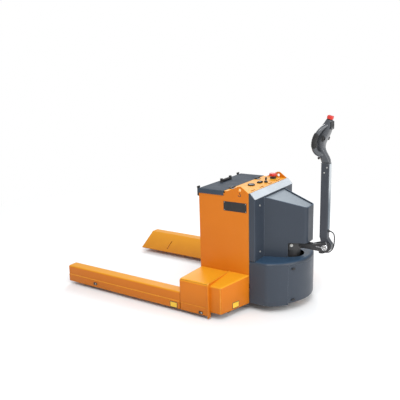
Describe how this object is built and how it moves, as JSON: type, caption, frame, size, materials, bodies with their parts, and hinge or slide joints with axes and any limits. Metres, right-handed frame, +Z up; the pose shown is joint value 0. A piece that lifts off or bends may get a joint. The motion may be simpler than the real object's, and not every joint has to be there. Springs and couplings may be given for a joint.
{
  "type": "electric pallet truck with sloped roll forks",
  "caption": "Walk-behind electric pallet truck: wide sloped forks for rolls, battery body with a lid, covered drive unit and an upright tiller with loop grips.",
  "frame": {"origin": "centre of the bounding box's base, on the floor", "axes": "+X from the fork tips towards the tiller, +Y to the right of an operator who faces the forks, +Z up"},
  "size_m": [2.098, 1.254, 1.4248],
  "materials": {
    "orange_paint": "semi-gloss orange powder coat",
    "black_paint": "black powder coat",
    "charcoal_cover": "charcoal moulded cover with a fine grain",
    "pale_panel": "light grey moulded panel",
    "lid_grey": "dark grey glossy lid",
    "black_plastic": "black moulded plastic",
    "tiller_grey": "dark grey moulding",
    "tiller_paint": "dark grey powder coat",
    "zinc_steel": "zinc plated steel",
    "ground_steel": "ground bright bar",
    "cast_iron": "cast iron, primed",
    "bronze": "sintered bronze",
    "polyurethane": "polyurethane tread",
    "rubber": "black rubber",
    "battery_case": "battery tray and cell tops",
    "alloy": "cast aluminium heat sink",
    "red_plastic": "red moulded plastic"
  },
  "bodies": {
    "chassis": {"drive_chassis": "black_paint", "guide_rods": "ground_steel", "lift_cylinder": "zinc_steel", "steering_bearing": "zinc_steel", "rear_cover": "charcoal_cover", "cover_top_panel": "pale_panel", "cover_screws": "zinc_steel", "lower_cover": "charcoal_cover", "door_hinge": "zinc_steel"},
    "fork_frame": {"battery_compartment": "orange_paint", "fork_left": "orange_paint", "fork_right": "orange_paint", "shoulder_left": "orange_paint", "shoulder_right": "orange_paint", "side_fairing_left": "orange_paint", "side_fairing_right": "orange_paint", "console_panel": "orange_paint", "console_fittings": "black_plastic", "battery": "battery_case", "hydraulic_unit": "battery_case", "motor_controller": "alloy", "frame_pins": "zinc_steel", "frame_bushes": "bronze", "lid_hardware": "black_paint", "cylinder_rod": "ground_steel", "corner_buffers": "rubber"},
    "lid": {"lid": "lid_grey", "lid_handle": "black_plastic"},
    "key": {"key": "black_plastic"},
    "stop_button": {"stop_button": "red_plastic"},
    "rocker": {"rocker_shaft": "black_paint"},
    "rear_door": {"rear_door": "charcoal_cover"},
    "latch_lower": {"door_latch_lower": "black_plastic"},
    "latch_upper": {"door_latch_upper": "black_plastic"},
    "drive_unit": {"drive_gearbox": "cast_iron", "drive_motor": "black_paint", "steering_yoke": "black_paint", "tiller_pin": "zinc_steel"},
    "drive_wheel": {"drive_tyre": "polyurethane", "drive_hub": "cast_iron"},
    "tiller": {"tiller_tube": "tiller_paint", "tiller_rear_cover": "pale_panel", "tiller_head": "tiller_grey", "tiller_cable": "rubber"},
    "throttle": {"throttle": "black_plastic"},
    "belly_button": {"belly_button": "red_plastic"},
    "lift_button": {"lift_button": "black_plastic"},
    "lower_button": {"lower_button": "black_plastic"},
    "horn_button": {"horn_button": "black_plastic"},
    "push_rod_left": {"push_rod_left": "black_paint"},
    "roller_arm_left": {"roller_arm_left": "black_paint"},
    "load_roller_left": {"load_roller_left": "polyurethane"},
    "caster_left": {"caster_fork_left": "zinc_steel"},
    "caster_wheel_left": {"caster_wheel_left": "polyurethane"},
    "push_rod_right": {"push_rod_right": "black_paint"},
    "roller_arm_right": {"roller_arm_right": "black_paint"},
    "load_roller_right": {"load_roller_right": "polyurethane"},
    "caster_right": {"caster_fork_right": "zinc_steel"},
    "caster_wheel_right": {"caster_wheel_right": "polyurethane"}
  },
  "joints": [
    {"name": "lift", "type": "slide", "parent": "chassis", "child": "fork_frame", "axis": [0, 0, 1], "range_m": [0, 0.11]},
    {"name": "lid_hinge", "type": "hinge", "parent": "fork_frame", "child": "lid", "pos_m": [0.322, 0, 0.8935], "axis": [0, 1, 0], "range_deg": [0, 85]},
    {"name": "key_turn", "type": "hinge", "parent": "fork_frame", "child": "key", "pos_m": [0.454, 0.087, 0.888], "axis": [0, 0, -1], "range_deg": [0, 60]},
    {"name": "stop_press", "type": "slide", "parent": "fork_frame", "child": "stop_button", "axis": [0, 0, -1], "range_m": [0, 0.006]},
    {"name": "rocker_turn", "type": "hinge", "parent": "fork_frame", "child": "rocker", "pos_m": [0.171, 0, 0.14324], "axis": [0, 1, 0], "range_deg": [0, 44.9]},
    {"name": "door_hinge", "type": "hinge", "parent": "chassis", "child": "rear_door", "pos_m": [0.79343, 0.22371, 0.2], "axis": [0, 0, 1], "range_deg": [0, 110]},
    {"name": "latch_lower_turn", "type": "hinge", "parent": "rear_door", "child": "latch_lower", "pos_m": [0.81182, -0.187, 0.096], "axis": [0.8504, -0.5262, 0], "range_deg": [0, 90]},
    {"name": "latch_upper_turn", "type": "hinge", "parent": "rear_door", "child": "latch_upper", "pos_m": [0.81182, -0.187, 0.334], "axis": [0.8504, -0.5262, 0], "range_deg": [0, 90]},
    {"name": "steer", "type": "hinge", "parent": "chassis", "child": "drive_unit", "pos_m": [0.701, 0, 0.29], "axis": [0, 0, 1], "range_deg": [-60, 60]},
    {"name": "drive_roll", "type": "hinge", "parent": "drive_unit", "child": "drive_wheel", "pos_m": [0.701, 0, 0.115], "axis": [0, 1, 0], "continuous": true},
    {"name": "tilt", "type": "hinge", "parent": "drive_unit", "child": "tiller", "pos_m": [0.989, 0, 0.481], "axis": [0, 1, 0], "range_deg": [0, 80], "stiffness_Nm_per_rad": 40, "springref_deg": -17.19, "deforming": ["tiller_cable"]},
    {"name": "throttle_turn", "type": "hinge", "parent": "tiller", "child": "throttle", "pos_m": [0.959, 0, 1.266], "axis": [0, 1, 0], "range_deg": [-25, 25], "stiffness_Nm_per_rad": 0.5},
    {"name": "belly_press", "type": "slide", "parent": "tiller", "child": "belly_button", "axis": [-0.259, 0, -0.9659], "range_m": [0, 0.005], "stiffness_N_per_m": 1500},
    {"name": "lift_press", "type": "slide", "parent": "tiller", "child": "lift_button", "axis": [-0.9871, 0, 0.16], "range_m": [0, 0.003], "stiffness_N_per_m": 400},
    {"name": "lower_press", "type": "slide", "parent": "tiller", "child": "lower_button", "axis": [-0.9871, 0, 0.16], "range_m": [0, 0.003], "stiffness_N_per_m": 400},
    {"name": "horn_press", "type": "slide", "parent": "tiller", "child": "horn_button", "axis": [0.8601, 0, 0.5101], "range_m": [0, 0.003], "stiffness_N_per_m": 400},
    {"name": "push_rod_left_slide", "type": "slide", "parent": "fork_frame", "child": "push_rod_left", "axis": [-1, 0, 0], "range_m": [0, 0.03443]},
    {"name": "arm_left_swing", "type": "hinge", "parent": "fork_frame", "child": "roller_arm_left", "pos_m": [-0.748, -0.548, 0.06], "axis": [0, -1, 0], "range_deg": [0, 44.9]},
    {"name": "load_roller_left_roll", "type": "hinge", "parent": "roller_arm_left", "child": "load_roller_left", "pos_m": [-0.91196, -0.548, 0.0415], "axis": [0, 1, 0], "continuous": true},
    {"name": "caster_left_swivel", "type": "hinge", "parent": "chassis", "child": "caster_left", "pos_m": [0.421, -0.43, 0.102], "axis": [0, 0, 1], "continuous": true},
    {"name": "caster_left_roll", "type": "hinge", "parent": "caster_left", "child": "caster_wheel_left", "pos_m": [0.401, -0.43, 0.038], "axis": [0, 1, 0], "continuous": true},
    {"name": "push_rod_right_slide", "type": "slide", "parent": "fork_frame", "child": "push_rod_right", "axis": [-1, 0, 0], "range_m": [0, 0.03443]},
    {"name": "arm_right_swing", "type": "hinge", "parent": "fork_frame", "child": "roller_arm_right", "pos_m": [-0.748, 0.548, 0.06], "axis": [0, -1, 0], "range_deg": [0, 44.9]},
    {"name": "load_roller_right_roll", "type": "hinge", "parent": "roller_arm_right", "child": "load_roller_right", "pos_m": [-0.91196, 0.548, 0.0415], "axis": [0, 1, 0], "continuous": true},
    {"name": "caster_right_swivel", "type": "hinge", "parent": "chassis", "child": "caster_right", "pos_m": [0.421, 0.43, 0.102], "axis": [0, 0, 1], "continuous": true},
    {"name": "caster_right_roll", "type": "hinge", "parent": "caster_right", "child": "caster_wheel_right", "pos_m": [0.401, 0.43, 0.038], "axis": [0, 1, 0], "continuous": true}
  ],
  "couplings": [
    {"joint": "rocker_turn", "follows": "lift", "rad_per_m": 7.0943},
    {"joint": "push_rod_left_slide", "follows": "lift", "ratio": 0.3112},
    {"joint": "arm_left_swing", "follows": "lift", "rad_per_m": 7.0943},
    {"joint": "push_rod_right_slide", "follows": "lift", "ratio": 0.3112},
    {"joint": "arm_right_swing", "follows": "lift", "rad_per_m": 7.0943}
  ]
}
